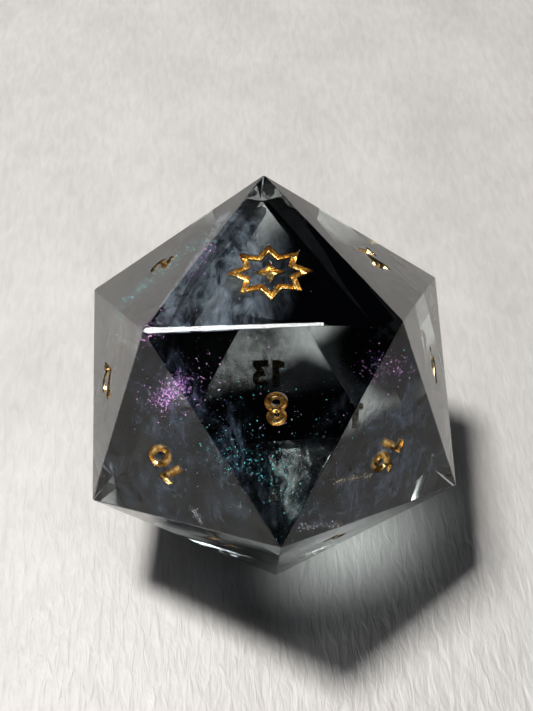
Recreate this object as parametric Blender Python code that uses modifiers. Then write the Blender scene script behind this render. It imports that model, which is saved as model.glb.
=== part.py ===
"""A large sharp-edged twenty-sided die: one block of smoky cast resin with gold-filled engraving.

The die rests on its face 1, so its face 20 lies level on top. X runs to the right, Y to the back
and Z up, in metres, and the origin is on the table under the middle of the die. Opposite faces
add up to 21. Each engraved shape is a pocket in the resin that holds its own fill of gold paint,
a separate solid whose surface stays a little below the face.
"""
import math

import bmesh
import bpy
from mathutils import Matrix, Vector

# The resin block.
FACE_TO_FACE = 0.033
INRADIUS_PER_EDGE = (3 * math.sqrt(3) + math.sqrt(15)) / 12
EDGE = FACE_TO_FACE / (2 * INRADIUS_PER_EDGE)
CIRCUMRADIUS = EDGE * math.sin(math.radians(72))
EDGE_ROUNDING = 0.00010
EDGE_SEGMENTS = 3

# A thin flat that hand polishing left on the top face's front edge. It tapers from left to right.
FLAT_DEPTH_LEFT = 0.000095
FLAT_DEPTH_RIGHT = 0.000030
FLAT_CUTTER_SIZE = 0.002

# The pockets and the paint in them. A rim's cutter starts a little inside the pocket's walls,
# and flares at 45 degrees.
POCKET_DEPTH = 0.00060
RIM_CHAMFER = 0.00008
RIM_OVERLAP = 0.00003
PAINT_BELOW_FACE = 0.00020
PAINT_GAP = 0.00002
CUTTER_ABOVE_FACE = 0.00030
RIM_CUTTER_ABOVE_FACE = 0.00006
WELD_DISTANCE = 0.000001

# The numbers. Digit shapes are drawn in units of the digit's height.
DIGIT_HEIGHT = 0.00282
STROKE = 0.23
DIGIT_GAP = 0.15
NUMBER_RISE = 0.00075
ARC_STEP = 15
DOT_DIAMETER = 0.00052
DOT_BELOW_DIGIT = 0.00056
DOTTED_NUMBERS = (6, 9)

# The star on face 20.
STAR_POINTS = 8
STAR_WIDTH = 0.345 * EDGE
STAR_DEPTH = 0.300 * EDGE
STAR_VALLEY = 0.66
STAR_LINE = 0.00052
SPARK_POINTS = 4
SPARK_WIDTH = 0.125 * EDGE
SPARK_DEPTH = 0.115 * EDGE
SPARK_VALLEY = 0.42

# Which number is on which face: from the top down, each layer in the order of its faces
# anticlockwise from -X. The lower half follows, because opposite faces add up to 21.
TOP_LAYER = (20,)
SHOULDER_LAYER = (8, 14, 2)
GIRDLE_LAYER = (12, 10, 16, 6, 4, 18)
OPPOSITE_SUM = 21

RESIN_COLOUR = (0.035, 0.036, 0.045, 1.0)
PAINT_COLOUR = (0.83, 0.53, 0.16, 1.0)


def arc(centre_x, centre_y, radius_x, radius_y, start, end):
    """Points along an arc of an ellipse between two angles in degrees, either way round."""
    steps = max(2, round(abs(end - start) / ARC_STEP))
    angles = [math.radians(start + (end - start) * i / steps) for i in range(steps + 1)]
    return [(centre_x + radius_x * math.cos(a), centre_y + radius_y * math.sin(a)) for a in angles]


def ring(centre_x, centre_y, radius_x, radius_y, clockwise=False):
    """A closed ellipse, anticlockwise around material or clockwise around a hole."""
    end = -360 if clockwise else 360
    return arc(centre_x, centre_y, radius_x, radius_y, 0, end)[:-1]


def inset(loop, distance):
    """A closed outline moved to its left, which is always towards the material."""
    moved = []
    for i, (x, y) in enumerate(loop):
        point = Vector((x, y))
        before = (point - Vector(loop[i - 1])).normalized()
        after = (Vector(loop[(i + 1) % len(loop)]) - point).normalized()
        normal_before = Vector((-before.y, before.x))
        normal_after = Vector((-after.y, after.x))
        mitre = (normal_before + normal_after) / (1 + normal_before.dot(normal_after))
        moved.append(tuple(point + mitre * distance))
    return moved


# Each digit is a list of closed outlines: first its outer edge, anticlockwise, then its holes,
# clockwise. A digit reaches from -0.5 to 0.5 in height.

BOWL_RADIUS = 0.33
BOWL_INNER = BOWL_RADIUS - STROKE
BOWL_HEIGHT = BOWL_RADIUS - 0.5
TOP = 0.5
FOOT = -0.5
BAR_UNDER = TOP - STROKE


def digit_0():
    width, height = 0.37, 0.5
    return [ring(0, 0, width, height), ring(0, 0, width - STROKE, height - STROKE, clockwise=True)]


def digit_1():
    stem_left, stem_right, flag_left = 0.22 - STROKE, 0.22, -0.21
    return [[
        (stem_left, FOOT), (stem_right, FOOT), (stem_right, TOP), (stem_left + 0.03, TOP),
        (flag_left, 0.42), (flag_left, 0.18), (stem_left, 0.23),
    ]]


def digit_2():
    middle = -BOWL_HEIGHT
    bowl = arc(0, middle, BOWL_RADIUS, BOWL_RADIUS, -35, 165)
    inner = arc(0, middle, BOWL_INNER, BOWL_INNER, 165, -35)
    base = [(-0.33, FOOT), (0.33, FOOT), (0.33, FOOT + STROKE), (0.0, FOOT + STROKE)]
    return [base + bowl + inner + [(-0.33, -0.33)]]


def digit_3():
    inner = arc(0, BOWL_HEIGHT, BOWL_INNER, BOWL_INNER, 90, -145)
    bowl = arc(0, BOWL_HEIGHT, BOWL_RADIUS, BOWL_RADIUS, -145, 60)
    notch = [(-0.12, 0.06), (-0.12, BOWL_HEIGHT + BOWL_INNER)]
    bar = [(-0.28, TOP), (-0.28, BAR_UNDER), (0.03, BAR_UNDER)]
    return [bar + notch + inner + bowl + [(0.30, 0.31), (0.30, TOP)]]


def digit_4():
    stem_left, stem_right = 0.27 - STROKE, 0.27
    bar_low, bar_high, bar_left, bar_right = -0.29, -0.08, -0.37, 0.37
    outer = [
        (bar_left, bar_low), (stem_left, bar_low), (stem_left, FOOT), (stem_right, FOOT),
        (stem_right, bar_low), (bar_right, bar_low), (bar_right, bar_high),
        (stem_right, bar_high), (stem_right, TOP), (0.0, TOP), (bar_left, bar_high),
    ]
    hole = [(-0.11, bar_high), (stem_left, 0.16), (stem_left, bar_high)]
    return [outer, hole]


def digit_5():
    inner = arc(0, BOWL_HEIGHT, BOWL_INNER, BOWL_INNER, 90, -145)
    bowl = arc(0, BOWL_HEIGHT, BOWL_RADIUS, BOWL_RADIUS, -145, 97)
    flag = [(-0.02, BAR_UNDER), (0.28, BAR_UNDER), (0.28, TOP)]
    back = [(-0.26, TOP), (-0.28, BOWL_HEIGHT + BOWL_INNER)]
    return [flag + back + inner + bowl]


def digit_6():
    """A round bowl with a straight stem, whose left side runs into the bowl along a tangent."""
    radius, lean = 0.36, 60
    middle = radius - 0.5
    tangent = lean + 90
    meets = tangent - math.degrees(math.acos((radius - STROKE) / radius))
    bowl = arc(0, middle, radius, radius, tangent, meets + 360)
    slope = 1 / math.tan(math.radians(lean))
    top_left = bowl[0][0] + (TOP - bowl[0][1]) * slope
    top_right = top_left + STROKE / math.sin(math.radians(lean))
    hole = ring(0, middle, radius - STROKE, radius - STROKE, clockwise=True)
    return [bowl + [(top_right, TOP), (top_left, TOP)], hole]


def digit_7():
    return [[
        (-0.30, TOP), (-0.30, BAR_UNDER), (0.05, BAR_UNDER), (-0.20, FOOT), (0.05, FOOT),
        (0.31, 0.30), (0.31, TOP),
    ]]


def digit_8():
    """Two circles that run into each other at the waist, drawn a little wider than round. The
    holes are a little closer together than the circles."""
    low, high, stretch, stroke = 0.30, 0.265, 1.15, 0.19
    low_hole_rise, high_hole_drop = 0.01, 0.06
    low_middle, high_middle = low - 0.5, 0.5 - high
    apart = high_middle - low_middle
    up = (apart ** 2 + low ** 2 - high ** 2) / (2 * apart)
    half_waist = math.sqrt(low ** 2 - up ** 2)
    low_angle = math.degrees(math.atan2(up, half_waist))
    high_angle = math.degrees(math.atan2(apart - up, half_waist))
    low_bowl = arc(0, low_middle, low * stretch, low, 180 - low_angle, 360 + low_angle)
    high_bowl = arc(0, high_middle, high * stretch, high, -high_angle, 180 + high_angle)
    holes = []
    for radius, middle in (
        (low - stroke, low_middle + low_hole_rise), (high - stroke, high_middle - high_hole_drop),
    ):
        holes.append(ring(0, middle, radius * stretch, radius, clockwise=True))
    return [low_bowl[:-1] + high_bowl[:-1]] + holes


def digit_9():
    return [[(-x, -y) for x, y in loop] for loop in digit_6()]


DIGITS = (
    digit_0, digit_1, digit_2, digit_3, digit_4, digit_5, digit_6, digit_7, digit_8, digit_9,
)


def star(points, width, depth, valley):
    """A star's outline, anticlockwise, with its valleys at a share of its reach."""
    outline = []
    for i in range(2 * points):
        angle = math.pi * i / points
        reach = valley if i % 2 else 1.0
        outline.append((reach * width / 2 * math.cos(angle), reach * depth / 2 * math.sin(angle)))
    return outline


def moved(loops, x, y, scale=1.0):
    return [[(x + scale * px, y + scale * py) for px, py in loop] for loop in loops]


def number_shapes(number):
    """The shapes engraved for one number: (name ending, outlines) for each separate pocket."""
    digits = [DIGITS[int(character)]() for character in str(number)]
    sides = [(min(x for x, _ in digit[0]), max(x for x, _ in digit[0])) for digit in digits]
    total = sum(right - left for left, right in sides) + DIGIT_GAP * (len(digits) - 1)
    endings = ("units",) if len(digits) == 1 else ("tens", "units")
    shapes = []
    pen = -total / 2
    for ending, digit, (left, right) in zip(endings, digits, sides):
        at = (pen - left) * DIGIT_HEIGHT
        shapes.append((ending, moved(digit, at, NUMBER_RISE, DIGIT_HEIGHT)))
        pen += right - left + DIGIT_GAP
    if number in DOTTED_NUMBERS:
        height = NUMBER_RISE - DIGIT_HEIGHT / 2 - DOT_BELOW_DIGIT
        shapes.append(("dot", [ring(0, height, DOT_DIAMETER / 2, DOT_DIAMETER / 2)]))
    return shapes


def emblem_shapes():
    """Face 20's mark: an eight-pointed star in outline around a small four-pointed one."""
    outline = star(STAR_POINTS, STAR_WIDTH, STAR_DEPTH, STAR_VALLEY)
    hole = list(reversed(inset(outline, STAR_LINE)))
    spark = star(SPARK_POINTS, SPARK_WIDTH, SPARK_DEPTH, SPARK_VALLEY)
    return [("star", [outline, hole]), ("spark", [spark])]


def plate(name, loops, thickness, collection, chamfer=0.0):
    """A flat solid centred on its own XY plane. Its two faces have these outlines, and with a
    chamfer it is that much wider all round between them."""
    outline = bpy.data.curves.new(name, "CURVE")
    outline.dimensions = "2D"
    outline.fill_mode = "BOTH"
    outline.extrude = thickness / 2 - chamfer
    outline.bevel_depth = chamfer
    outline.bevel_resolution = 0
    for loop in loops:
        spline = outline.splines.new("POLY")
        spline.points.add(len(loop) - 1)
        spline.use_cyclic_u = True
        for point, (x, y) in zip(spline.points, loop):
            point.co = (x, y, 0, 1)
    curve = bpy.data.objects.new(name, outline)
    collection.objects.link(curve)
    graph = bpy.context.evaluated_depsgraph_get()
    mesh = bpy.data.meshes.new_from_object(curve.evaluated_get(graph))
    matrix = curve.matrix_world.copy()
    bpy.data.objects.remove(curve)
    bpy.data.curves.remove(outline)
    solid = bmesh.new()
    solid.from_mesh(mesh)
    bmesh.ops.remove_doubles(solid, verts=solid.verts, dist=WELD_DISTANCE)
    bmesh.ops.recalc_face_normals(solid, faces=solid.faces)
    solid.to_mesh(mesh)
    solid.free()
    mesh.name = name
    piece = bpy.data.objects.new(name, mesh)
    piece.matrix_world = matrix
    collection.objects.link(piece)
    return piece


def principled(name, colour, roughness, metallic, transmission=0.0):
    material = bpy.data.materials.new(name)
    material.use_nodes = True
    shader = material.node_tree.nodes["Principled BSDF"]
    shader.inputs["Base Color"].default_value = colour
    shader.inputs["Roughness"].default_value = roughness
    shader.inputs["Metallic"].default_value = metallic
    shader.inputs["Transmission Weight"].default_value = transmission
    return material


def resin_block(collection):
    """An icosahedron with its edges just broken, lying on one face, centred on its own origin."""
    block = bmesh.new()
    bmesh.ops.create_icosphere(block, subdivisions=1, radius=CIRCUMRADIUS)
    block.faces.ensure_lookup_table()
    level = block.faces[0].normal.rotation_difference(Vector((0, 0, -1))).to_matrix()
    bmesh.ops.rotate(block, verts=block.verts, matrix=level)
    corner = min(block.verts, key=lambda vertex: (round(vertex.co.z, 6), vertex.co.y)).co
    turn = Matrix.Rotation(math.radians(-90) - math.atan2(corner.y, corner.x), 3, "Z")
    bmesh.ops.rotate(block, verts=block.verts, matrix=turn)
    mesh = bpy.data.meshes.new("resin_body")
    block.to_mesh(mesh)
    block.free()
    body = bpy.data.objects.new("resin_body", mesh)
    collection.objects.link(body)
    body.location.z = -min(vertex.co.z for vertex in mesh.vertices)
    return body


def face_frame(centre, normal, up):
    """A face's frame: its origin at the face's middle, Y up along the number, Z out of the face."""
    across = up.cross(normal)
    frame = Matrix((across, up, normal)).transposed().to_4x4()
    frame.translation = centre
    return frame


def anticlockwise_from_left(face):
    return (math.atan2(face.center.y, face.center.x) + math.pi) % (2 * math.pi)


def numbered_frames(mesh):
    """Each number's face frame. On the upper half numbers stand towards their face's lowest
    corner, and face 20's mark towards the back. Each lower face is its opposite, turned through
    the die's middle."""
    upper = sorted(mesh.polygons, key=lambda face: -face.center.z)[:10]
    layers = ((TOP_LAYER, upper[:1]), (SHOULDER_LAYER, upper[1:4]), (GIRDLE_LAYER, upper[4:]))
    frames = {}
    for numbers, faces in layers:
        for number, face in zip(numbers, sorted(faces, key=anticlockwise_from_left)):
            corners = [mesh.vertices[index].co for index in face.vertices]
            if numbers is TOP_LAYER:
                corner = max(corners, key=lambda co: co.y)
            else:
                corner = min(corners, key=lambda co: co.z)
            centre, normal = face.center.copy(), face.normal.copy()
            up = (corner - centre).normalized()
            frames[number] = face_frame(centre, normal, up)
            frames[OPPOSITE_SUM - number] = face_frame(-centre, -normal, -up)
    return frames


def cut(name, loops, face, bottom, top, cutters, chamfer=0.0):
    """A cutter between these heights over a face, which the pockets' Boolean takes away."""
    cutter = plate(name, loops, top - bottom, cutters, chamfer)
    cutter.matrix_world = face @ Matrix.Translation((0, 0, (top + bottom) / 2))
    cutter.hide_render = True
    cutter.display_type = "WIRE"


def polish_front_edge(body, cutters):
    """The cutter of the tapering flat, between the two front corners of the top face."""
    corners = [body.matrix_world @ vertex.co for vertex in body.data.vertices]
    front = sorted(corners, key=lambda co: (-round(co.z, 6), co.y))[:2]
    left, right = sorted(front, key=lambda co: co.x)
    outward = ((left + right) / 2 - body.location).normalized()
    start, end = left - outward * FLAT_DEPTH_LEFT, right - outward * FLAT_DEPTH_RIGHT
    along = (end - start).normalized()
    outward = (outward - along * outward.dot(along)).normalized()
    across = outward.cross(along)
    bpy.ops.mesh.primitive_cube_add(size=1)
    cutter = bpy.context.object
    cutter.name = "front_edge_flat"
    cutter.data.transform(Matrix.Diagonal((2 * EDGE, FLAT_CUTTER_SIZE, FLAT_CUTTER_SIZE, 1)))
    turn = Matrix((along, across, outward)).transposed().to_4x4()
    middle = (start + end) / 2 + outward * FLAT_CUTTER_SIZE / 2
    cutter.matrix_world = Matrix.Translation(middle) @ turn
    cutter.hide_render = True
    cutter.display_type = "WIRE"
    for owner in cutter.users_collection:
        owner.objects.unlink(cutter)
    cutters.objects.link(cutter)


def engrave(body, number, frame, collection, cutters, paint):
    """Cuts a face's pockets, chamfers their rims and fills each one with paint."""
    face = body.matrix_world @ frame
    rim_depth = RIM_CHAMFER + RIM_OVERLAP
    flare = rim_depth + RIM_CUTTER_ABOVE_FACE
    paint_bottom = PAINT_GAP - POCKET_DEPTH
    thickness = -PAINT_BELOW_FACE - paint_bottom
    for ending, loops in emblem_shapes() if number == 20 else number_shapes(number):
        name = f"paint_{number:02d}_{ending}"
        cut(f"pocket_{name}", loops, face, -POCKET_DEPTH, CUTTER_ABOVE_FACE, cutters)
        inside = [inset(loop, RIM_OVERLAP) for loop in loops]
        cut(f"rim_{name}", inside, face, -rim_depth, 2 * flare - rim_depth, cutters, flare)
        shrunk = [inset(loop, PAINT_GAP) for loop in loops]
        fill = plate(name, shrunk, thickness, collection)
        fill.data.materials.append(paint)
        fill.parent = body
        fill.matrix_local = frame @ Matrix.Translation((0, 0, paint_bottom + thickness / 2))


def main():
    for obj in list(bpy.data.objects):
        bpy.data.objects.remove(obj)
    parts = bpy.data.collections.new("twenty_sided_die")
    cutters = bpy.data.collections.new("die_cutters")
    bpy.context.scene.collection.children.link(parts)
    bpy.context.scene.collection.children.link(cutters)

    resin = principled("smoky_resin", RESIN_COLOUR, 0.04, 0.0, transmission=0.6)
    paint = principled("gold_paint", PAINT_COLOUR, 0.22, 1.0)
    body = resin_block(parts)
    body.data.materials.append(resin)
    bpy.context.view_layer.update()

    for number, frame in sorted(numbered_frames(body.data).items()):
        engrave(body, number, frame, parts, cutters, paint)
    polish_front_edge(body, cutters)

    broken_edges = body.modifiers.new("broken_edges", "BEVEL")
    broken_edges.width = EDGE_ROUNDING
    broken_edges.segments = EDGE_SEGMENTS
    pockets = body.modifiers.new("pockets", "BOOLEAN")
    pockets.operand_type = "COLLECTION"
    pockets.collection = cutters


main()
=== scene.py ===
"""The looks of a large twenty-sided die of smoky cast resin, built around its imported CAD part.

The resin block has the CAD node's own shape. Each engraved shape gets a coat of gold paint with a
hollow surface, made from its CAD fill's own outline. Sealed in the resin are ink clouds, which are
thin wavy sheets, and glitter flakes. All sizes are in metres. X runs to the right, Y to the back
and Z up, and the die's own sizes come from the frame's box.
"""

import itertools
import math
import random

import bmesh
import bpy
import numpy as np
from mathutils import Matrix, Vector, noise
from mathutils.geometry import delaunay_2d_cdt


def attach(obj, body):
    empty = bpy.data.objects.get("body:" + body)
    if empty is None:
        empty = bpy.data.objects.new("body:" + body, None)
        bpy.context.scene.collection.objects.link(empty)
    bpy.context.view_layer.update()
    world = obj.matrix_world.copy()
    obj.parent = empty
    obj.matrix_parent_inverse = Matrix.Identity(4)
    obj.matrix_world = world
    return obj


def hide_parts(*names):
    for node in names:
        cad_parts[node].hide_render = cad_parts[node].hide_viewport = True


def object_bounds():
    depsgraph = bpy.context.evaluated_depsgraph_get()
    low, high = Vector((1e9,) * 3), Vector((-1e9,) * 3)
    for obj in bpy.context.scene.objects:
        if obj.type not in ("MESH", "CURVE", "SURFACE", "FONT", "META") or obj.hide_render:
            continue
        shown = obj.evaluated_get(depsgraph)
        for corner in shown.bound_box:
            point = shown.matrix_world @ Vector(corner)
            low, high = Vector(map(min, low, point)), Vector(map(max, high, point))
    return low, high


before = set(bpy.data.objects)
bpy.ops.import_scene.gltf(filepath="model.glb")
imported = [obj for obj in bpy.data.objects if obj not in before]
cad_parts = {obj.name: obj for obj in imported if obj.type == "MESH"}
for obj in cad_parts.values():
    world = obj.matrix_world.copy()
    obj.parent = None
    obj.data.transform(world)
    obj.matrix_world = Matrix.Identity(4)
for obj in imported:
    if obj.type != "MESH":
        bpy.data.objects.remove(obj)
cad_low, cad_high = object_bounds()

MM = 0.001
INRADIUS_PER_EDGE = (3 * math.sqrt(3) + math.sqrt(15)) / 12
INRADIUS = (cad_high.z - cad_low.z) / 2
EDGE = INRADIUS / INRADIUS_PER_EDGE
CENTRE = Vector((0, 0, cad_low.z + INRADIUS))

# The camera: where it stands as seen from the middle of the die, in degrees and in edge lengths.
CAMERA_AZIMUTH = -2.28
CAMERA_ELEVATION = 51.18
CAMERA_ROLL = -0.343
CAMERA_DISTANCE = 4.754
CAMERA_RIGHT = -0.0166
CAMERA_UP = 0.1336
CAMERA_LENS = 52.43

# The key lamp stands behind the die, to the left and high up.
KEY_AZIMUTH = 147
KEY_ELEVATION = 69.2
KEY_DISTANCE = 0.50
KEY_SIZE = 0.10
KEY_POWER = 2.7
KEY_COLOUR = (1.0, 0.96, 0.91)

# A soft panel overhead draws the bright line on the top face's front edge. It shows in
# reflections only.
PANEL_PLACE = (-0.0125, -0.02, 0.49)
PANEL_SIZE = (0.105, 0.10)
PANEL_POWER = 0.75

# The patch of light that the die gathers on the floor: where it falls and where it comes from, in
# edge lengths from the point below the middle of the die.
PATCH_AT = (0.40, -0.42, 0.0)
PATCH_FROM = (-2.4, -1.9, 2.5)
PATCH_CONE = 7.2
PATCH_POWER = 0.42
PATCH_COLOUR = (0.95, 1.0, 0.96)
PATCH_SOFTNESS = 0.004

# The faint light of the room.
ROOM_COLOUR = (0.9, 0.95, 1.0, 1)
ROOM_STRENGTH = 0.012


def direction(azimuth, elevation):
    """A unit vector. Azimuth runs anticlockwise from +X, in degrees."""
    a, e = math.radians(azimuth), math.radians(elevation)
    return Vector((math.cos(a) * math.cos(e), math.sin(a) * math.cos(e), math.sin(e)))


def node(tree, kind, inputs=None, **settings):
    """Adds a shader node. An input is a value or another node's output."""
    made = tree.nodes.new(kind)
    for name, value in settings.items():
        setattr(made, name, value)
    for name, value in (inputs or {}).items():
        if isinstance(value, bpy.types.NodeSocket):
            tree.links.new(value, made.inputs[name])
        else:
            made.inputs[name].default_value = value
    return made


def new_material(name):
    """An empty material, and its node tree."""
    made = bpy.data.materials.new(name)
    made.use_nodes = True
    made.node_tree.nodes.clear()
    return made, made.node_tree


def new_piece(name, mesh, material):
    """An object with a material, in the scene."""
    piece = bpy.data.objects.new(name, mesh)
    bpy.context.scene.collection.objects.link(piece)
    mesh.materials.append(material)
    return piece


def coordinates(tree, scale, turn=(0, 0, 0)):
    """Object coordinates, scaled and turned: every piece's origin is the frame's own."""
    where = node(tree, "ShaderNodeTexCoord").outputs["Object"]
    placed = node(tree, "ShaderNodeMapping", {"Vector": where, "Scale": scale, "Rotation": turn})
    return placed.outputs["Vector"]


# ---- the die's faces

GOLDEN = (1 + math.sqrt(5)) / 2
# Corners no further apart than this, in edge lengths, are neighbours.
NEIGHBOURS_WITHIN = 1.01


def ring(radius, height, first):
    """Three points round the die's axis, an equal turn apart."""
    return [direction(first + turn, 0) * radius + Vector((0, 0, height)) for turn in (0, 120, 240)]


def face_normals():
    """The die's 20 face normals, from its corners."""
    upper = ring(EDGE / math.sqrt(3), INRADIUS, 90)
    upper += ring(GOLDEN * EDGE / math.sqrt(3), INRADIUS / GOLDEN ** 3, 30)
    corners = upper + [-corner for corner in upper]
    normals = []
    for three in itertools.combinations(corners, 3):
        sides = [(a - b).length for a, b in itertools.combinations(three, 2)]
        if max(sides) < NEIGHBOURS_WITHIN * EDGE:
            normals.append(sum(three, Vector()).normalized())
    return normals


NORMALS = face_normals()


# ---- materials


def resin_material():
    """Clear casting resin with a smoky tint. Light that only casts a shadow goes straight through
    it, dimmed, so that what is sealed inside is lit."""
    made, tree = new_material("smoky_resin")
    where = coordinates(tree, (1000, 1000, 1000))
    ripples = node(tree, "ShaderNodeTexNoise", {"Vector": where, "Scale": 0.35, "Detail": 2.0})
    dust = node(tree, "ShaderNodeTexNoise", {"Vector": where, "Scale": 6.0, "Detail": 4.0})
    bump = node(tree, "ShaderNodeBump", {
        "Height": ripples.outputs["Fac"], "Strength": 0.04, "Distance": 0.0002,
    })
    gloss = node(tree, "ShaderNodeMapRange", {
        "Value": dust.outputs["Fac"], "From Min": 0.45, "From Max": 0.8, "To Min": 0.0, "To Max": 0.03,
    })
    shader = node(tree, "ShaderNodeBsdfPrincipled", {
        "Base Color": (0.95, 0.97, 0.98, 1), "Roughness": gloss.outputs["Result"], "IOR": 1.5,
        "Transmission Weight": 1.0, "Normal": bump.outputs["Normal"],
    })
    dimmed = node(tree, "ShaderNodeBsdfTransparent", {"Color": (0.165, 0.165, 0.175, 1)})
    path = node(tree, "ShaderNodeLightPath")
    surface = node(tree, "ShaderNodeMixShader", {"Fac": path.outputs["Is Shadow Ray"]})
    tree.links.new(shader.outputs["BSDF"], surface.inputs[1])
    tree.links.new(dimmed.outputs["BSDF"], surface.inputs[2])
    absorption = node(tree, "ShaderNodeVolumeAbsorption", {
        "Color": (0.38, 0.46, 0.46, 1), "Density": 40.0,
    })
    node(tree, "ShaderNodeOutputMaterial", {
        "Surface": surface.outputs["Shader"], "Volume": absorption.outputs["Volume"],
    })
    return made


# Ink is drawn out along a slanting line: its coordinates' scale, and their turn in radians.
INK_SCALE = (1000, 480, 620)
INK_TURN = (0.4, -0.3, 0.9)


def drifting(tree, fineness, seed):
    """Coordinates that noise has pushed about, different for each seed."""
    where = coordinates(tree, INK_SCALE, INK_TURN)
    moved = node(tree, "ShaderNodeVectorMath", {0: where, 1: (seed * 7.1, seed * 3.3, seed * 5.7)})
    warp = node(tree, "ShaderNodeTexNoise", {
        "Vector": moved.outputs["Vector"], "Scale": 0.17 * fineness, "Detail": 3.0,
    })
    push = node(tree, "ShaderNodeVectorMath", {
        0: warp.outputs["Color"], 1: (9 / fineness,) * 3,
    }, operation="MULTIPLY")
    warped = node(tree, "ShaderNodeVectorMath", {0: moved.outputs["Vector"], 1: push.outputs["Vector"]})
    return warped.outputs["Vector"]


def ink_cover(tree, warped, thickest, low, high, fineness):
    """How much the ink hides, from its streaks and clouds. It fades at the sheet's border."""
    wisps = node(tree, "ShaderNodeTexNoise", {
        "Vector": warped, "Scale": 0.36 * fineness, "Detail": 8.0, "Roughness": 0.62,
        "Distortion": 0.4,
    })
    clouds = node(tree, "ShaderNodeTexNoise", {
        "Vector": warped, "Scale": 0.12 * fineness, "Detail": 2.0,
    })
    both = node(tree, "ShaderNodeMath", {
        0: wisps.outputs["Fac"], 1: clouds.outputs["Fac"],
    }, operation="ADD")
    dense = node(tree, "ShaderNodeMapRange", {
        "Value": both.outputs["Value"], "From Min": low, "From Max": high, "To Min": 0.0,
        "To Max": thickest,
    }, interpolation_type="SMOOTHSTEP")
    fade = node(tree, "ShaderNodeAttribute", attribute_name="fade")
    alpha = node(tree, "ShaderNodeMath", {
        0: dense.outputs["Result"], 1: fade.outputs["Fac"],
    }, operation="MULTIPLY")
    return alpha.outputs["Value"]


def ink_material(name, dark, light, painted_glow, thickest, low, high, fineness, seed):
    """A wisp of ink. Its painted glow, an emission in the ink's own colours, stands for the light that
    scatters about inside the smoke.
    """
    made, tree = new_material(name)
    warped = drifting(tree, fineness, seed)
    streaks = node(tree, "ShaderNodeTexNoise", {
        "Vector": warped, "Scale": 0.8 * fineness, "Detail": 6.0, "Roughness": 0.6,
    })
    colour = node(tree, "ShaderNodeValToRGB", {"Fac": streaks.outputs["Fac"]})
    colour.color_ramp.elements[0].position = 0.38
    colour.color_ramp.elements[0].color = dark
    colour.color_ramp.elements[1].position = 0.68
    colour.color_ramp.elements[1].color = light
    shader = node(tree, "ShaderNodeBsdfPrincipled", {
        "Base Color": colour.outputs["Color"], "Roughness": 0.8, "Specular IOR Level": 0.0,
        "Emission Color": colour.outputs["Color"], "Emission Strength": painted_glow,
        "Alpha": ink_cover(tree, warped, thickest, low, high, fineness),
    })
    node(tree, "ShaderNodeOutputMaterial", {"Surface": shader.outputs["BSDF"]})
    return made


def glitter_material(name, first, second, painted_glow):
    """Metal flakes, each with a random value of its own (the shade attribute) that sets its colour and
    the strength of its painted glint. The flakes with the highest values glow bright whichever way they
    face, as painted sparkle; the rest glow faintly.
    """
    made, tree = new_material(name)
    shade = node(tree, "ShaderNodeAttribute", attribute_name="shade")
    # Painted glint: each flake glows by its own emission in its own colour, brightest for the highest
    # shade values.
    painted_glint = node(tree, "ShaderNodeMapRange", {
        "Value": shade.outputs["Fac"], "From Min": 0.6, "From Max": 1.0, "To Min": painted_glow * 0.08,
        "To Max": painted_glow,
    })
    colour = node(tree, "ShaderNodeValToRGB", {"Fac": shade.outputs["Fac"]})
    colour.color_ramp.elements[0].color = first
    colour.color_ramp.elements[1].color = second
    shader = node(tree, "ShaderNodeBsdfPrincipled", {
        "Base Color": colour.outputs["Color"], "Roughness": 0.25, "Metallic": 1.0,
        "Emission Color": colour.outputs["Color"], "Emission Strength": painted_glint.outputs["Result"],
    })
    node(tree, "ShaderNodeOutputMaterial", {"Surface": shader.outputs["BSDF"]})
    return made


def gold_material():
    """Metallic gold paint, patchy in shade and slightly grainy."""
    made, tree = new_material("gold_paint")
    where = coordinates(tree, (1000, 1000, 1000))
    grain = node(tree, "ShaderNodeTexNoise", {"Vector": where, "Scale": 9.0, "Detail": 5.0})
    patches = node(tree, "ShaderNodeTexNoise", {"Vector": where, "Scale": 2.2, "Detail": 3.0})
    colour = node(tree, "ShaderNodeValToRGB", {"Fac": patches.outputs["Fac"]})
    colour.color_ramp.elements[0].position = 0.3
    colour.color_ramp.elements[0].color = (0.48, 0.24, 0.055, 1)
    colour.color_ramp.elements[1].position = 0.62
    colour.color_ramp.elements[1].color = (1.0, 0.74, 0.32, 1)
    gloss = node(tree, "ShaderNodeMapRange", {
        "Value": grain.outputs["Fac"], "From Min": 0.3, "From Max": 0.7, "To Min": 0.18, "To Max": 0.38,
    })
    bump = node(tree, "ShaderNodeBump", {
        "Height": grain.outputs["Fac"], "Strength": 0.35, "Distance": 0.00005,
    })
    shader = node(tree, "ShaderNodeBsdfPrincipled", {
        "Base Color": colour.outputs["Color"], "Roughness": gloss.outputs["Result"], "Metallic": 1.0,
        "Normal": bump.outputs["Normal"],
    })
    node(tree, "ShaderNodeOutputMaterial", {"Surface": shader.outputs["BSDF"]})
    return made


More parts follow.
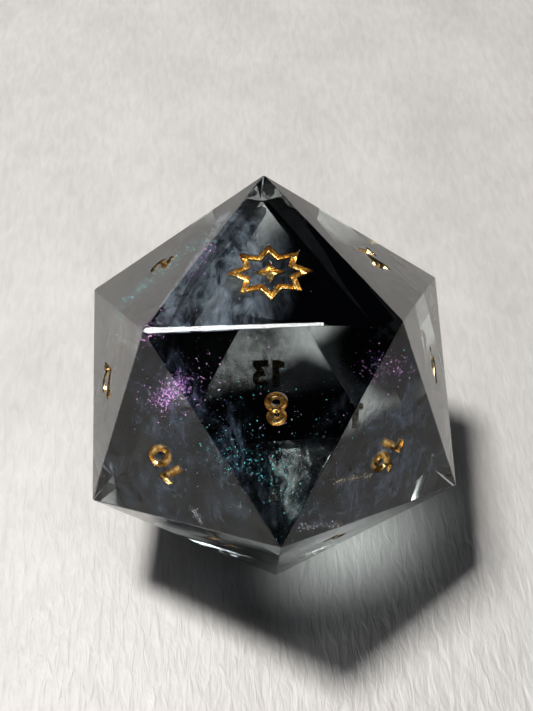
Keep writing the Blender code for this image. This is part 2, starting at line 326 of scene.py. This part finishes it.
def floor_material():
    """A pale satin sheet, brushed from front to back, with soft patches."""
    made, tree = new_material("pale_floor")
    brushed = coordinates(tree, (1300, 340, 1))
    streaks = node(tree, "ShaderNodeTexNoise", {
        "Vector": brushed, "Scale": 1.0, "Detail": 5.0, "Distortion": 0.6,
    })
    broad = coordinates(tree, (90, 60, 1))
    patches = node(tree, "ShaderNodeTexNoise", {"Vector": broad, "Scale": 1.0, "Detail": 4.0})
    both = node(tree, "ShaderNodeMath", {
        0: streaks.outputs["Fac"], 1: patches.outputs["Fac"],
    }, operation="ADD")
    tint = node(tree, "ShaderNodeMapRange", {
        "Value": both.outputs["Value"], "From Min": 0.7, "From Max": 1.3, "To Min": 0.62, "To Max": 0.76,
    })
    colour = node(tree, "ShaderNodeCombineColor", {
        "Red": tint.outputs["Result"], "Green": tint.outputs["Result"], "Blue": tint.outputs["Result"],
    })
    place = node(tree, "ShaderNodeSeparateXYZ", {"Vector": coordinates(tree, (1, 1, 1))})
    relief = node(tree, "ShaderNodeMapRange", {
        "Value": place.outputs["Y"], "From Min": -0.03, "From Max": 0.03, "To Min": 0.85, "To Max": 0.12,
    })
    bump = node(tree, "ShaderNodeBump", {
        "Height": streaks.outputs["Fac"], "Strength": relief.outputs["Result"], "Distance": 0.0002,
    })
    shader = node(tree, "ShaderNodeBsdfPrincipled", {
        "Base Color": colour.outputs["Color"], "Roughness": 0.5, "Specular IOR Level": 0.9,
        "Normal": bump.outputs["Normal"],
    })
    node(tree, "ShaderNodeOutputMaterial", {"Surface": shader.outputs["BSDF"]})
    return made


# ---- the resin block

# Edges up to this angle, in degrees, are shaded as rounded.
SMOOTH_BELOW = 50
# Triangles whose planes differ by less than this, in degrees, are one face.
FLAT_WITHIN = 0.3
# A face whose middle is this near two of the die's faces lies along one of the die's edges.
EDGE_FACE_WITHIN = 0.15 * MM
# Vertices nearer than this are the same one.
MERGE_WITHIN = 1e-8


def resin_piece():
    """The CAD node's own shape, with its triangles joined into whole faces. The pockets' rims are
    shaded as rounded, and the narrow faces along the die's edges as flat."""
    solid = bmesh.new()
    solid.from_mesh(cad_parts["resin_body"].data)
    bmesh.ops.remove_doubles(solid, verts=solid.verts, dist=MERGE_WITHIN)
    bmesh.ops.dissolve_limit(
        solid, angle_limit=math.radians(FLAT_WITHIN), verts=solid.verts, edges=solid.edges,
    )
    mesh = bpy.data.meshes.new("resin")
    solid.to_mesh(mesh)
    solid.free()
    mesh.shade_smooth()
    mesh.set_sharp_from_angle(angle=math.radians(SMOOTH_BELOW))
    for face in mesh.polygons:
        depths = sorted(INRADIUS - normal.dot(face.center - CENTRE) for normal in NORMALS)
        face.use_smooth = depths[1] > EDGE_FACE_WITHIN
    resin = new_piece("resin", mesh, resin_material())
    rounded = resin.modifiers.new("rounded_edges", "WEIGHTED_NORMAL")
    rounded.keep_sharp = True
    rounded.weight = 100
    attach(resin, "root")
    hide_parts("resin_body")


# ---- paint coats

# Where the CAD fill's top lies under the die's face, and its gap to the pocket's wall.
PAINT_BELOW_FACE = 0.20 * MM
PAINT_GAP = 0.02 * MM
# How far a coat runs into the wall, so that no gap shows.
COAT_OVERLAP = 0.01 * MM
# Depths under the die's face: a coat's top at the wall, its top in the middle, and its underside.
COAT_RIM = 0.11 * MM
COAT_FLOOR = 0.50 * MM
COAT_BOTTOM = 0.61 * MM
# How far from the wall the top reaches its full depth, and the height of its unevenness.
MENISCUS = 0.22 * MM
COAT_WAVE = 0.05 * MM
COAT_GRID = 0.055 * MM
COAT_WAVES_PER_METRE = 1500
COAT_SHARP_FROM = 40


def cap_of(cad):
    """A paint fill's outer cap: the frame of its plane, and its closed outlines there, which keep
    the paint on their left."""
    solid = bmesh.new()
    solid.from_mesh(cad.data)
    bmesh.ops.remove_doubles(solid, verts=solid.verts, dist=MERGE_WITHIN)
    solid.normal_update()

    outward = (sum((v.co for v in solid.verts), Vector()) / len(solid.verts) - CENTRE).normalized()
    cap = [face for face in solid.faces if face.normal.dot(outward) > 0.9]
    axis = sum((face.normal * face.calc_area() for face in cap), Vector()).normalized()
    along = {}
    for face in cap:
        for loop in face.loops:
            if sum(other in cap for other in loop.edge.link_faces) == 1:
                along[loop.vert] = loop.link_loop_next.vert
    level = max((vertex.co - CENTRE).dot(axis) for vertex in solid.verts)
    across = axis.orthogonal().normalized()
    plane = Matrix((across, axis.cross(across), axis)).transposed().to_4x4()
    plane.translation = CENTRE + axis * (level + PAINT_BELOW_FACE)
    inverse = plane.inverted()
    outlines = []
    while along:
        vertex = next(iter(along))
        outline = []
        while vertex in along:
            point = inverse @ vertex.co
            outline.append((point.x, point.y))
            vertex = along.pop(vertex)
        outlines.append(np.array(outline))
    solid.free()
    return plane, outlines


def widened(outline, distance):
    """A closed outline moved to its right, away from the material."""
    before = outline - np.roll(outline, 1, axis=0)
    after = np.roll(outline, -1, axis=0) - outline
    before /= np.linalg.norm(before, axis=1)[:, None]
    after /= np.linalg.norm(after, axis=1)[:, None]
    normal_before = np.stack([before[:, 1], -before[:, 0]], axis=1)
    normal_after = np.stack([after[:, 1], -after[:, 0]], axis=1)
    scale = 1 + (normal_before * normal_after).sum(axis=1)
    return outline + (normal_before + normal_after) / scale[:, None] * distance


def finer(outline, step):
    """The same outline with points at most a step apart."""
    points = []
    for start, end in zip(outline, np.roll(outline, -1, axis=0)):
        pieces = max(1, math.ceil(np.linalg.norm(end - start) / step))
        points += [start + (end - start) * i / pieces for i in range(pieces)]
    return np.array(points)


def depth_inside(points, outlines):
    """How far each point is from the nearest outline: positive in the material, else negative."""
    nearest = np.full(len(points), np.inf)
    crossings = np.zeros(len(points), int)
    for outline in outlines:
        for start, end in zip(outline, np.roll(outline, -1, axis=0)):
            along = end - start
            share = np.clip((points - start) @ along / (along @ along), 0, 1)
            gap = np.linalg.norm(points - start - share[:, None] * along, axis=1)
            nearest = np.minimum(nearest, gap)
            spans = (start[1] > points[:, 1]) != (end[1] > points[:, 1])
            if along[1]:
                at = start[0] + (points[:, 1] - start[1]) * along[0] / along[1]
                crossings += spans & (points[:, 0] < at)
    return np.where(crossings % 2 == 1, nearest, -nearest)


def grid_inside(outlines, step):
    """A staggered grid of points well inside the outlines."""
    everything = np.vstack(outlines)
    low, high = everything.min(axis=0), everything.max(axis=0)
    rows = np.arange(low[1], high[1], step * math.sqrt(3) / 2)
    points = []
    for i, y in enumerate(rows):
        points += [(x + (i % 2) * step / 2, y) for x in np.arange(low[0], high[0], step)]
    points = np.array(points)
    return points[depth_inside(points, outlines) > step * 0.6]


def flat_coat(outlines):
    """A coat from above: its points, its triangles and how far each point is from the wall."""
    walls = [finer(widened(o, PAINT_GAP + COAT_OVERLAP), COAT_GRID) for o in outlines]
    inside = grid_inside(walls, COAT_GRID)
    points = np.vstack(walls + [inside])
    edges, start = [], 0
    for wall in walls:
        count = len(wall)
        edges += [(start + i, start + (i + 1) % count) for i in range(count)]
        start += count
    flat = delaunay_2d_cdt([Vector(p) / MM for p in points], edges, [], 0, 1e-6)
    spots = np.array([tuple(v) for v in flat[0]]) * MM
    faces = [f for f in flat[2] if len(f) == 3]
    middles = spots[np.array(faces)].mean(axis=1)
    faces = [f for f, d in zip(faces, depth_inside(middles, walls)) if d > 0]
    return spots, faces, np.abs(depth_inside(spots, walls))


def coat_mesh(name, plane, outlines):
    """A closed coat of paint. Its top hangs between the pocket's walls like a dried meniscus."""
    spots, faces, depth = flat_coat(outlines)
    share = np.clip(depth / MENISCUS, 0, 1)
    sag = COAT_RIM + (COAT_FLOOR - COAT_RIM) * (1 - (1 - share) ** 2)
    coat = bmesh.new()
    top, bottom = [], []
    for (x, y), low, t in zip(spots, sag, share):
        wave = noise.noise((plane @ Vector((x, y, 0))) * COAT_WAVES_PER_METRE) * COAT_WAVE * t
        top.append(coat.verts.new((x, y, wave - low)))
        bottom.append(coat.verts.new((x, y, -COAT_BOTTOM)))
    for a, b, c in faces:
        coat.faces.new((top[a], top[b], top[c]))
        coat.faces.new((bottom[c], bottom[b], bottom[a]))
    partner = dict(zip(top, bottom))
    for edge in [e for e in coat.edges if e.is_boundary and e.verts[0] in partner]:
        loop = edge.link_loops[0]
        a, b = loop.vert, loop.link_loop_next.vert
        coat.faces.new((b, a, partner[a], partner[b]))
    bmesh.ops.delete(coat, geom=[v for v in coat.verts if not v.link_faces], context="VERTS")
    coat.transform(plane)
    bmesh.ops.recalc_face_normals(coat, faces=coat.faces)
    mesh = bpy.data.meshes.new(name)
    coat.to_mesh(mesh)
    coat.free()
    mesh.shade_smooth()
    mesh.set_sharp_from_angle(angle=math.radians(COAT_SHARP_FROM))
    return mesh


def paint_coats(gold):
    """A coat for each of the CAD's paint fills."""
    for name, cad in sorted(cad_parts.items()):
        if not name.startswith("paint"):
            continue
        plane, outlines = cap_of(cad)
        coat = new_piece(name.replace("paint", "coat"), coat_mesh(name, plane, outlines), gold)
        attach(coat, "root")
        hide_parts(name)


# ---- what is sealed in the resin

# Nothing sealed in the resin is nearer to a face of the die than these.
INK_MARGIN = 0.75 * MM
FLAKE_MARGIN = 0.65 * MM
# Over these the ink fades: beyond its margin, and inwards from an oval's border as a share.
INK_FADE = 1.5 * MM
OVAL_FADE = 0.45
# A sheet that drifts no more than this is cut off sharply at its margin.
FLAT_DRIFT = 0.25
INK_STEPS = 60
INK_SEED = 8
# The ink's broad and fine drifts: waves per edge length, and reach in edge lengths.
BROAD_DRIFT = (1.3, 0.20)
FINE_DRIFT = (4.0, 0.035)
# A flake's smallest and largest radius, and its thickness as a share of its radius.
FLAKE_RADII = (0.012 * MM, 0.030 * MM)
FLAKE_RISE = 0.12
FLAKE_SIDES = 6


def clearance(point):
    """How far a point, from the middle of the die, is inside its nearest face."""
    return INRADIUS - max(normal.dot(point) for normal in NORMALS)


def swirl(point, seed, waves, reach):
    """A smooth random shift at a point, up to a reach in edge lengths."""
    return noise.noise_vector(point / EDGE * waves + Vector((seed * 3.7, seed, -seed))) * reach * EDGE


def fade_at(offset, across, up, width, height):
    """Zero at an oval's border, one where its cover is full, and more towards its middle."""
    u, v = offset.dot(across) / (width * EDGE / 2), offset.dot(up) / (height * EDGE / 2)
    return (1 - math.hypot(u, v)) / OVAL_FADE


def wavy_grid(centre, across, up, width, height, drift, seed):
    """A rectangle of small faces, moved about by how far the ink drifts."""
    sheet = bmesh.new()
    rows = []
    for i in range(INK_STEPS + 1):
        row = []
        for j in range(INK_STEPS + 1):
            u, v = 2 * i / INK_STEPS - 1, 2 * j / INK_STEPS - 1
            flat = centre + (across * u * width + up * v * height) * EDGE / 2
            moved = swirl(flat, seed, *BROAD_DRIFT) + swirl(flat, seed + 9, *FINE_DRIFT)
            row.append(sheet.verts.new(flat + moved * drift))
        rows.append(row)
    for i in range(INK_STEPS):
        for j in range(INK_STEPS):
            sheet.faces.new((rows[i][j], rows[i + 1][j], rows[i + 1][j + 1], rows[i][j + 1]))
    return sheet


def trim(sheet):
    """Cuts away what is too near a face of the die."""
    for normal in NORMALS:
        everything = sheet.verts[:] + sheet.edges[:] + sheet.faces[:]
        bmesh.ops.bisect_plane(
            sheet, geom=everything, plane_co=normal * (INRADIUS - INK_MARGIN), plane_no=normal,
            clear_outer=True,
        )


def ink_sheet(name, centre, facing, width, height, drift, seed, material):
    """A wavy oval sheet, trimmed clear of the faces. A sheet with little drift keeps its full cover
    up to the trimmed border."""
    centre = Vector(centre) * EDGE
    axis = Vector(facing).normalized()
    across = Vector((-axis.y, axis.x, 0)).normalized() if abs(axis.z) < 0.99 else Vector((1, 0, 0))
    up = axis.cross(across)
    sheet = wavy_grid(centre, across, up, width, height, drift, seed)
    trim(sheet)
    mesh = bpy.data.meshes.new(name)
    sheet.to_mesh(mesh)
    sheet.free()
    fade = mesh.attributes.new("fade", "FLOAT", "POINT")
    for value, vertex in zip(fade.data, mesh.vertices):
        share = fade_at(vertex.co - centre, across, up, width, height)
        if drift > FLAT_DRIFT:
            share = min(share, (clearance(vertex.co) - INK_MARGIN) / INK_FADE)
        share = max(0.0, min(1.0, share))
        value.value = share * share * (3 - 2 * share)
    mesh.transform(Matrix.Translation(CENTRE))
    mesh.shade_smooth()
    sheet = new_piece(name, mesh, material)
    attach(sheet, "root")


def flakes(name, swarms, material, seed, size=1.0):
    """Thin six-sided flakes in swarms along short lines: (start, end, spread, count), in edge
    lengths from the middle of the die."""
    draw = random.Random(seed)
    swarm = bmesh.new()
    shades = []
    for start, end, spread, count in swarms:
        for _ in range(count):
            along = Vector(start).lerp(Vector(end), draw.random())
            point = (along + Vector([draw.gauss(0, spread) for _ in range(3)])) * EDGE
            if clearance(point) < FLAKE_MARGIN:
                continue
            turn = Vector([draw.gauss(0, 1) for _ in range(3)]).to_track_quat("Z", "Y").to_matrix()
            radius = draw.uniform(*FLAKE_RADII) * size
            rim = [
                swarm.verts.new(point + turn @ direction(360 / FLAKE_SIDES * k, 0) * radius)
                for k in range(FLAKE_SIDES)
            ]
            for side in (1, -1):
                peak = swarm.verts.new(point + turn @ Vector((0, 0, side * FLAKE_RISE * radius)))
                for k in range(FLAKE_SIDES):
                    pair = (rim[k], rim[(k + 1) % FLAKE_SIDES])[::side]
                    swarm.faces.new((*pair, peak))
            shades += [draw.random()] * (2 * FLAKE_SIDES)
    mesh = bpy.data.meshes.new(name)
    swarm.transform(Matrix.Translation(CENTRE))
    swarm.to_mesh(mesh)
    swarm.free()
    shade = mesh.attributes.new("shade", "FLOAT", "FACE")
    shade.data.foreach_set("value", shades)
    piece = new_piece(name, mesh, material)
    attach(piece, "root")


# Each sheet of ink: its middle in edge lengths from the middle of the die, the way it faces, its
# width and height, how far it drifts, and the kind of ink.
VIEWED = (0.1, 0.68, -0.72)
LEFT_FACE = (-0.577, -0.745, 0.333)
RIGHT_FACE = (0.577, -0.745, 0.333)
UPPER_LEFT_FACE = (-0.577, 0.333, 0.745)
UPPER_RIGHT_FACE = (0.577, 0.333, 0.745)
REAR_FACE = (0.0, 0.667, -0.745)
REAR_LEFT_FACE = (-0.577, 0.745, -0.333)
UPWARDS = (0.0, 0.0, 1.0)
RISING = (0.0, 0.13, 1.0)
INK_SHEETS = (
    ("ink_under_top", (0.32, 0.0, 0.688), RISING, 1.1, 1.2, 0.04, "black"),
    ("ink_left_wall", (-0.404, 0.522, -0.233), REAR_LEFT_FACE, 1.6, 1.6, 0.08, "black"),
    ("ink_rear_low", (0.28, 0.232, -0.74), REAR_FACE, 1.0, 0.86, 0.10, "black"),
    ("ink_right", (0.45, -0.12, 0.40), VIEWED, 0.52, 0.50, 0.2, "black"),
    ("ink_band", (-0.10, -0.10, -0.06), VIEWED, 0.60, 0.32, 0.3, "black"),
    ("ink_left_murk", (-0.43, -0.22, -0.02), VIEWED, 0.60, 0.80, 0.5, "murk"),
    ("ink_right_murk", (0.46, -0.18, -0.14), VIEWED, 0.55, 0.70, 0.5, "murk"),
    ("wisps_back", (-0.22, 0.42, -0.20), (0.1, 1.0, -0.4), 0.8, 0.9, 0.8, "wisps"),
    ("wisps_low", (0.03, -0.25, -0.50), (0.15, 0.3, 1.0), 0.9, 0.8, 0.8, "wisps"),
    ("wisps_floor", (0.05, -0.10, -0.66), UPWARDS, 1.0, 0.9, 0.3, "wisps"),
    ("smoke_left", (-0.387, -0.500, 0.223), LEFT_FACE, 1.15, 1.15, 0.4, "smoke"),
    ("smoke_left_deep", (-0.34, -0.42, 0.10), LEFT_FACE, 0.85, 0.85, 0.8, "smoke"),
    ("smoke_right", (0.387, -0.500, 0.223), RIGHT_FACE, 1.15, 1.15, 0.4, "smoke"),
    ("smoke_right_deep", (0.36, -0.42, 0.12), RIGHT_FACE, 0.8, 0.8, 0.8, "smoke"),
    ("smoke_top", (-0.26, 0.06, 0.678), RISING, 0.80, 1.1, 0.05, "pale"),
    ("veil_back", (-0.20, 0.40, -0.22), (0.1, 1.0, -0.4), 0.7, 0.9, 0.5, "veil"),
    ("veil_left", (-0.392, 0.226, 0.507), UPPER_LEFT_FACE, 1.5, 1.5, 0.2, "veil"),
    ("veil_right", (0.392, 0.226, 0.507), UPPER_RIGHT_FACE, 1.5, 1.5, 0.2, "veil"),
)
# Each kind: the ink's two colours, its painted glow (an emission that stands for light scattered in the
# smoke), its thickest cover, where its cover starts and is full, and how fine its streaks are.
INKS = {
    "black": ((0.001, 0.002, 0.004, 1), (0.003, 0.003, 0.007, 1), 0.0, 0.995, 0.50, 0.80, 1.0),
    "murk": ((0.003, 0.004, 0.008, 1), (0.008, 0.010, 0.018, 1), 0.0, 0.90, 0.70, 1.05, 1.4),
    "wisps": ((0.006, 0.007, 0.012, 1), (0.045, 0.055, 0.060, 1), 0.0, 0.82, 0.75, 1.15, 1.4),
    "smoke": ((0.002, 0.003, 0.008, 1), (0.52, 0.66, 0.90, 1), 0.10, 0.75, 0.90, 1.20, 1.5),
    "pale": ((0.080, 0.100, 0.130, 1), (0.70, 0.84, 0.98, 1), 0.26, 0.85, 0.75, 1.20, 1.0),
    "veil": ((0.060, 0.065, 0.070, 1), (0.14, 0.155, 0.155, 1), 0.0, 0.55, 0.50, 1.10, 0.8),
}

MAGENTA_SWARMS = (
    ((-0.36, -0.41, 0.57), (-0.47, -0.42, 0.45), 0.022, 1500),
    ((-0.30, -0.36, 0.52), (-0.48, -0.36, 0.40), 0.06, 400),
    ((-0.21, 0.19, 0.67), (-0.33, 0.02, 0.64), 0.018, 300),
    ((-0.46, -0.20, 0.62), (-0.40, -0.12, 0.62), 0.022, 160),
    ((0.39, -0.34, 0.56), (0.52, -0.29, 0.47), 0.035, 260),
    ((-0.5, -0.4, 0.3), (0.5, -0.4, 0.3), 0.20, 240),
)
TEAL_SWARMS = (
    ((-0.26, -0.54, 0.36), (0.02, -0.64, 0.22), 0.035, 260),
    ((-0.02, -0.62, 0.22), (0.05, -0.72, 0.12), 0.045, 110),
    ((-0.40, -0.40, 0.40), (0.10, -0.62, 0.16), 0.08, 200),
    ((-0.5, -0.3, 0.1), (0.5, -0.3, 0.1), 0.20, 260),
)
TEAL_BAND = (
    ((-0.64, 0.10, 0.40), (-0.26, 0.32, 0.60), 0.055, 1300),
)
# A painted flare: a line of bright, glowing gold flakes where the key lamp's light glints inside the
# resin.
GOLD_FLARE_SWARMS = (
    ((0.20, -0.67, 0.25), (0.37, -0.58, 0.14), 0.006, 220),
)
# The first two swarms are painted flares: lines of bright, glowing pale flakes where the key lamp's
# light glints inside the resin. The other two are pale specks spread through the resin.
PALE_SPECKS_AND_FLARES = (
    ((-0.337, -0.650, 0.054), (-0.294, -0.702, 0.011), 0.008, 240),
    ((0.06, -0.83, 0.17), (0.25, -0.72, 0.0), 0.009, 320),
    ((-0.30, -0.20, 0.70), (0.35, -0.20, 0.70), 0.10, 160),
    ((-0.40, -0.50, 0.30), (0.40, -0.50, 0.30), 0.12, 300),
)


def sealed_in():
    """The ink and the glitter inside the resin, and glowing flakes that stand in for flares of the key
    lamp's light as painted glints.
    """
    for seed, (name, centre, facing, width, height, drift, kind) in enumerate(INK_SHEETS):
        ink = ink_material(name, *INKS[kind], seed)
        ink_sheet(name, centre, facing, width, height, drift, seed, ink)
    # Each glitter's last number is the strength of its painted glint: its flakes glow though no lamp
    # shines on them.
    magenta = glitter_material("magenta_glitter", (0.35, 0.20, 0.90, 1), (1.0, 0.50, 0.95, 1), 9.0)
    teal = glitter_material("teal_glitter", (0.15, 0.40, 0.95, 1), (0.16, 0.95, 0.85, 1), 9.0)
    pale = glitter_material("pale_specks_and_flares_glow", (0.45, 0.48, 0.60, 1), (0.85, 0.85, 0.95, 1), 4.0)
    gold = glitter_material("gold_glitter", (0.80, 0.50, 0.20, 1), (1.0, 0.85, 0.55, 1), 4.0)
    flakes("glitter_magenta", MAGENTA_SWARMS, magenta, 11)
    flakes("glitter_teal", TEAL_SWARMS, teal, 12)
    flakes("glitter_teal_band", TEAL_BAND, teal, 14, 1.3)
    flakes("pale_specks_and_flares", PALE_SPECKS_AND_FLARES, pale, 13)
    flakes("glitter_gold", GOLD_FLARE_SWARMS, gold, 15)


# ---- floor, lights and camera


FLOOR_SIZE = 4.0
FLOOR_GAP = 0.02 * MM


def make_floor():
    """The table, just under the die."""
    bpy.ops.mesh.primitive_plane_add(size=FLOOR_SIZE, location=(0, 0, cad_low.z - FLOOR_GAP))
    floor = bpy.context.object
    floor.name = "pale_floor"
    floor.data.materials.append(floor_material())
    return floor


def area_lamp(name, place, towards, shape, size, power, colour):
    """A flat lamp that shines from a place, away from the direction it is given."""
    lamp = bpy.data.lights.new(name, "AREA")
    lamp.shape = shape
    lamp.size, lamp.size_y = size
    lamp.energy = power
    lamp.color = colour
    holder = bpy.data.objects.new(name, lamp)
    bpy.context.scene.collection.objects.link(holder)
    holder.location = place
    holder.rotation_mode = "QUATERNION"
    holder.rotation_quaternion = towards.to_track_quat("Z", "Y")
    return holder


def gathered_light(floor):
    """The soft bright patch inside the shadow, where the die gathers the key lamp's light. It falls
    on the floor only."""
    lamp = bpy.data.lights.new("gathered_light", "SPOT")
    lamp.energy = PATCH_POWER
    lamp.color = PATCH_COLOUR
    lamp.spot_size = math.radians(PATCH_CONE)
    lamp.spot_blend = 1.0
    lamp.shadow_soft_size = PATCH_SOFTNESS
    holder = bpy.data.objects.new("gathered_light", lamp)
    bpy.context.scene.collection.objects.link(holder)
    holder.location = Vector(PATCH_FROM) * EDGE
    aim = Vector(PATCH_AT) * EDGE - holder.location
    holder.rotation_mode = "QUATERNION"
    holder.rotation_quaternion = aim.to_track_quat("-Z", "Y")
    only = bpy.data.collections.new("lit_floor")
    only.objects.link(floor)
    holder.light_linking.receiver_collection = only
    holder.light_linking.blocker_collection = only


def make_lights(floor):
    """The key lamp, the overhead panel, the gathered light and a dim room."""
    towards = direction(KEY_AZIMUTH, KEY_ELEVATION)
    key = CENTRE + towards * KEY_DISTANCE
    area_lamp("key_lamp", key, towards, "DISK", (KEY_SIZE, KEY_SIZE), KEY_POWER, KEY_COLOUR)
    panel = area_lamp(
        "overhead_panel", Vector(PANEL_PLACE), Vector((0, 0, 1)), "RECTANGLE", PANEL_SIZE, PANEL_POWER,
        (1, 1, 1),
    )
    panel.visible_diffuse = False
    gathered_light(floor)
    world = bpy.data.worlds.new("dim_room")
    bpy.context.scene.world = world
    world.use_nodes = True
    background = world.node_tree.nodes["Background"]
    background.inputs["Color"].default_value = ROOM_COLOUR
    background.inputs["Strength"].default_value = ROOM_STRENGTH


def make_camera():
    """A camera that looks at the die from the front and above, a little off its middle."""
    azimuth, elevation = math.radians(CAMERA_AZIMUTH), math.radians(CAMERA_ELEVATION)
    back = Vector((
        math.sin(azimuth) * math.cos(elevation), -math.cos(azimuth) * math.cos(elevation),
        math.sin(elevation),
    ))
    right = Vector((math.cos(azimuth), math.sin(azimuth), 0))
    turn = Matrix((right, back.cross(right), back)).transposed()
    turn = turn @ Matrix.Rotation(math.radians(CAMERA_ROLL), 3, "Z")
    place = turn @ Vector((CAMERA_RIGHT, CAMERA_UP, CAMERA_DISTANCE)) * EDGE + CENTRE
    data = bpy.data.cameras.new("camera")
    data.lens = CAMERA_LENS
    data.sensor_width = 36
    data.clip_start = 0.001
    camera = bpy.data.objects.new("camera", data)
    bpy.context.scene.collection.objects.link(camera)
    camera.matrix_world = Matrix.Translation(place) @ turn.to_4x4()
    bpy.context.scene.camera = camera


def set_up_rays():
    """Enough bounces to see through the resin and its ink. The light that the resin would gather is
    left out: the gathered_light lamp stands for it."""
    cycles = bpy.context.scene.cycles
    cycles.transparent_max_bounces = 32
    cycles.transmission_bounces = 16
    cycles.max_bounces = 16
    cycles.caustics_refractive = False
    cycles.caustics_reflective = False


def main():
    noise.seed_set(INK_SEED)
    resin_piece()
    paint_coats(gold_material())
    sealed_in()
    make_lights(make_floor())
    make_camera()
    set_up_rays()
    bpy.context.scene.view_settings.view_transform = "Standard"


main()
